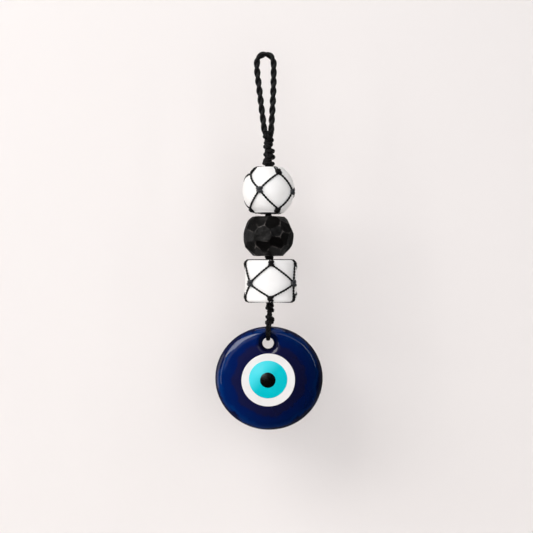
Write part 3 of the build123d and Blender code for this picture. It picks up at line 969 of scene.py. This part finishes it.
# Tail, tie knot and tie.
tail_x = (tail_low[0] + tail_high[0]) / 2
tail = Shape()
for z, x, width, tilt, phase in ((-138.95, 2.6, 2.65, 0.15, 0.1), (-140.5, 2.65, 2.75, -0.45, 0.6)):
    sennit(tail, (x, 0, z), width, 2.1, tilt, 2.3, phase)
twisted(tail, [(tail_x, 0, z) for z in (-138.9, -140.2, -142.2)], 3.0, 5.0)
tail.to_object("tail_knots", cord, "tail", ["tail_knot"], "black_cord")
bundle(
    "tail_string", tail_high[2] - 1.2, lower_bottom - 0.2, (2.6, 2.5), 2.1, ("lower_bead", "tail"),
)  # fmt: skip
bundle("twist_string", -143.6, -141.6, (2.45, 2.45), 1.45, ("tail", "eye_hanger"))
tie_knots = Shape()
for z, x, width, tilt, phase in ((-145.5, 2.6, 2.65, -0.3, 0.5), (-147.6, 2.35, 2.85, 0.4, 0.9)):
    sennit(tie_knots, (x, 0, z), width, 2.3, tilt, 2.3, phase)
twisted(tie_knots, [(tail_x, 0, -142.9), (2.4, 0, -145.0), (2.1, 0, -148.4)], 3.0, 5.0)
tie_knots.to_object("tie_knots", cord, "eye_hanger", ["tie_knot"], "black_cord")

tie = Shape()
depth = tie_high[1] - tie_half
corners = (
    (-0.6, -147.1), (-depth, tie_shoulder), (-depth, tie_z + 0.1), (0, tie_z), (depth, tie_z + 0.1),
    (depth, tie_shoulder), (0.6, -147.1),
)  # fmt: skip
side_line = []
for a, b in zip(np.array(corners[:-1]), np.array(corners[1:])):
    side_line += [a * (1 - t) + b * t for t in np.linspace(0, 1, 12)[:-1]]
side_line = np.array(side_line + [np.array(corners[-1])])
for _ in range(60):
    side_line[1:-1] = side_line[1:-1] * 0.5 + (side_line[:-2] + side_line[2:]) * 0.25
# The two strands lie side by side and come together only inside the hole.
into_hole = np.clip((side_line[:, 1] - tie_z) / 4.0, 0, 1)
for sideways in (-1, 1):
    # Above z -153 they lean towards the knot, which hangs a little to the right.
    lean = np.clip((side_line[:, 1] + 153) / 4, 0, 1) * 0.4
    x = tie_centre_x + lean + sideways * (0.35 + 0.35 * into_hole)
    line = np.stack((x, side_line[:, 0], side_line[:, 1]), axis=1)
    twisted(tie, line, 1.7, 4.0, phase=0.2 * sideways, sides=10)
tie.to_object("tie_strands", cord, "eye_hanger", ["eye_tie"], "black_cord")

# Glass eye.
rings = eye_rings()
flat = ripple(rings.reshape(-1, 3), 9.0, 0.12, 3.0)
body_shape = Shape()
body_shape.skin(flat.reshape(rings.shape), closed=True)
body_shape.to_object("cobalt_eye", cobalt, "eye", ["eye_body"], "cobalt_glass")
glass_drop("white_ring", 14.9, 0.14, 0.22, 0.5, 0.4, white_glass, "eye_white", (0, 0), 0.98)
glass_drop("turquoise_ring", 10.75, 0.36, 1.35, 0.5, 2.0, turquoise, "eye_turquoise", (-0.1, 0.33), 0.97)
glass_drop("pupil_drop", 4.55, 1.35, 2.05, 0.6, 4.0, black_glass, "eye_pupil", (-0.25, 0.05), 1.0)

# Stage and light.
wall_paint = stage_material("wall_paint", (0.86, 0.82, 0.805), one_sided=True)
floor_paint = stage_material("floor_paint", (0.84, 0.82, 0.8))
wall_corners = [(-1.5, wall_y, -1.6), (1.5, wall_y, -1.6), (1.5, wall_y, 1.4), (-1.5, wall_y, 1.4)]
floor_corners = [(-2, -0.5, floor_z), (2, -0.5, floor_z), (2, 1.5, floor_z), (-2, 1.5, floor_z)]
wall = plane("wall", wall_corners, wall_paint)
floor = plane("floor", floor_corners, floor_paint)
wall.visible_glossy = floor.visible_glossy = wall.visible_shadow = False
aim = (0.0, 0.0, -0.12)
area_light("key", (-0.75, -0.8, 0.62), aim, (1.0, 0.8), 11.0, (1.0, 0.985, 0.97))
area_light("fill", (0.2, -1.6, -0.1), aim, (1.6, 1.6), 16.5, (0.985, 0.985, 1.0), mirrored=False)
area_light("left_strip", (-0.95, -0.75, 0.0), aim, (0.06, 0.8), 1.0, (1.0, 0.99, 0.97))
area_light("right_strip", (0.85, -0.7, 0.25), aim, (0.05, 0.6), 0.6, (0.95, 0.97, 1.0))
area_light("rear", (0.5, 1.2, 0.4), aim, (1.2, 1.2), 8.0, (1.0, 0.99, 0.97), mirrored=False)
area_light("window", (-0.33, -0.92, 0.06), (0, 0, -0.18), (0.5, 0.45), 0.36, (1.0, 0.98, 0.96))
area_light("left_side", (-1.2, 0.12, -0.08), aim, (0.7, 0.9), 1.8, (1.0, 0.99, 0.98))
area_light("top_strip", (0.05, -0.62, 0.42), (0, 0, -0.153), (1.3, 0.16), 0.65, (0.97, 0.97, 1.0))
world = bpy.data.worlds.new("studio")
world.use_nodes = True
studio = world.node_tree
direction = studio.nodes.new("ShaderNodeTexCoord")
parts = studio.nodes.new("ShaderNodeSeparateXYZ")
studio.links.new(direction.outputs["Generated"], parts.inputs["Vector"])
# Dark behind the camera, so that flat glass and black cord stay dark, and pale round the sides.
sides = studio.nodes.new("ShaderNodeMapRange")
sides.inputs["From Min"].default_value, sides.inputs["From Max"].default_value = -0.5, 0.1
sides.inputs["To Min"].default_value, sides.inputs["To Max"].default_value = 0.01, 0.13
studio.links.new(parts.outputs["Y"], sides.inputs["Value"])
seen = studio.nodes.new("ShaderNodeLightPath")
strength = studio.nodes.new("ShaderNodeMix")
studio.links.new(seen.outputs["Is Camera Ray"], strength.inputs["Factor"])
studio.links.new(sides.outputs["Result"], strength.inputs["A"])
strength.inputs["B"].default_value = 0.8
back = studio.nodes["Background"]
back.inputs["Color"].default_value = (0.96, 0.94, 0.93, 1.0)
studio.links.new(strength.outputs["Result"], back.inputs["Strength"])
bpy.context.scene.world = world
bpy.context.scene.view_settings.view_transform = "Standard"
